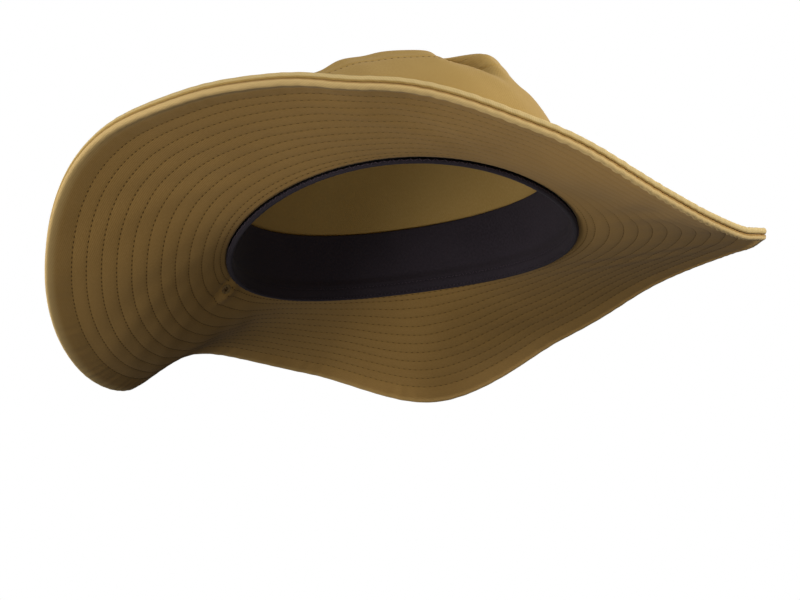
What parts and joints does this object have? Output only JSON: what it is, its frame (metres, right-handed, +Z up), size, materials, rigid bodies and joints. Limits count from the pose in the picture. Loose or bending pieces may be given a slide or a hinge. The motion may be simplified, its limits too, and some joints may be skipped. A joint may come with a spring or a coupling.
{
  "type": "sun hat",
  "caption": "Wide-brimmed soft cotton sun hat: two-ply drooping wavy brim with rolled edge, low dented crown, dark inner sweatband and a small side eyelet.",
  "frame": {"origin": "middle of the oval head opening, level with the seam where brim, crown and sweatband meet", "axes": "+Z up through the crown, -Y to the front of the hat, +X to the wearer's left"},
  "size_m": [0.329, 0.3643, 0.1213],
  "materials": {
    "khaki_twill": "matt cotton twill",
    "khaki_underside": "matt cotton twill, seen from below",
    "charcoal_band": "matt cotton",
    "dark_brass": "antiqued, dull"
  },
  "bodies": {
    "root": {"brim_upper": "khaki_twill", "brim_under": "khaki_underside", "crown_band": "khaki_twill", "crown_tip": "khaki_twill", "sweatband": "charcoal_band", "side_eyelet": "dark_brass"}
  },
  "joints": []
}
